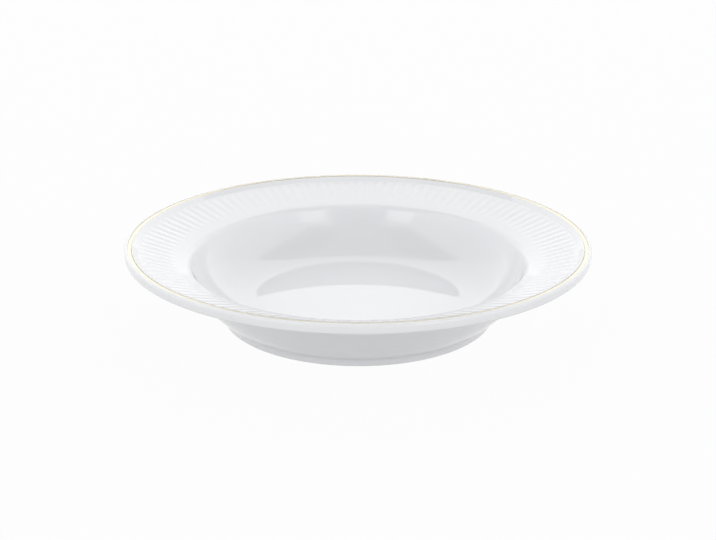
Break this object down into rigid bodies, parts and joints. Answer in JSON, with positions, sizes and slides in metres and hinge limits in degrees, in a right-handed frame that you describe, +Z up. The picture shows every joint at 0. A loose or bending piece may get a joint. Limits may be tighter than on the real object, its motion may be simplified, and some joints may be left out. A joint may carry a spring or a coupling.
{
  "type": "rimmed soup plate",
  "caption": "White glazed porcelain soup plate with a deep round well, a fluted rim, a raised lip carrying a narrow gold line, and a foot ring.",
  "frame": {"origin": "centre of the circle that the foot ring stands on, at table level", "axes": "+Z up along the plate's axis of revolution; +X and +Y lie in the table plane"},
  "size_m": [0.225, 0.225, 0.0393],
  "materials": {
    "white_porcelain": "gloss",
    "gold_line": "polished"
  },
  "bodies": {
    "root": {"plate_body": "white_porcelain", "gold_band": "gold_line"}
  },
  "joints": []
}
